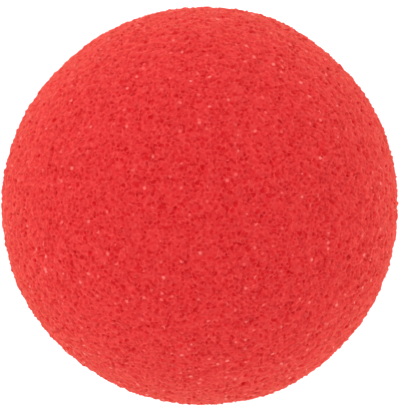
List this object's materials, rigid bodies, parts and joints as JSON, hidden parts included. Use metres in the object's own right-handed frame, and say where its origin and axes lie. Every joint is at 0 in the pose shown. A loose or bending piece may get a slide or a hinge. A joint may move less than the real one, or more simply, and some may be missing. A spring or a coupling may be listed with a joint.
{
  "type": "foam clown nose",
  "caption": "Soft red foam ball worn over the tip of the nose, with a round blind pocket in its back and a flat trimmed ring round the hole that it stands on.",
  "frame": {"origin": "centre of the trimmed ring round the hole, on the surface that the nose stands on", "axes": "+Z along the pocket's axis, out of the crown and away from the wearer's face; the pocket opens towards -Z; bearings of the waist's swells run from +X towards +Y"},
  "size_m": [0.0498, 0.05, 0.046],
  "materials": {
    "red_foam": "fine open-cell polyurethane foam, dyed through in one red, matt, with a few shiny cell skins"
  },
  "bodies": {
    "root": {"foam_ball": "red_foam"}
  },
  "joints": []
}
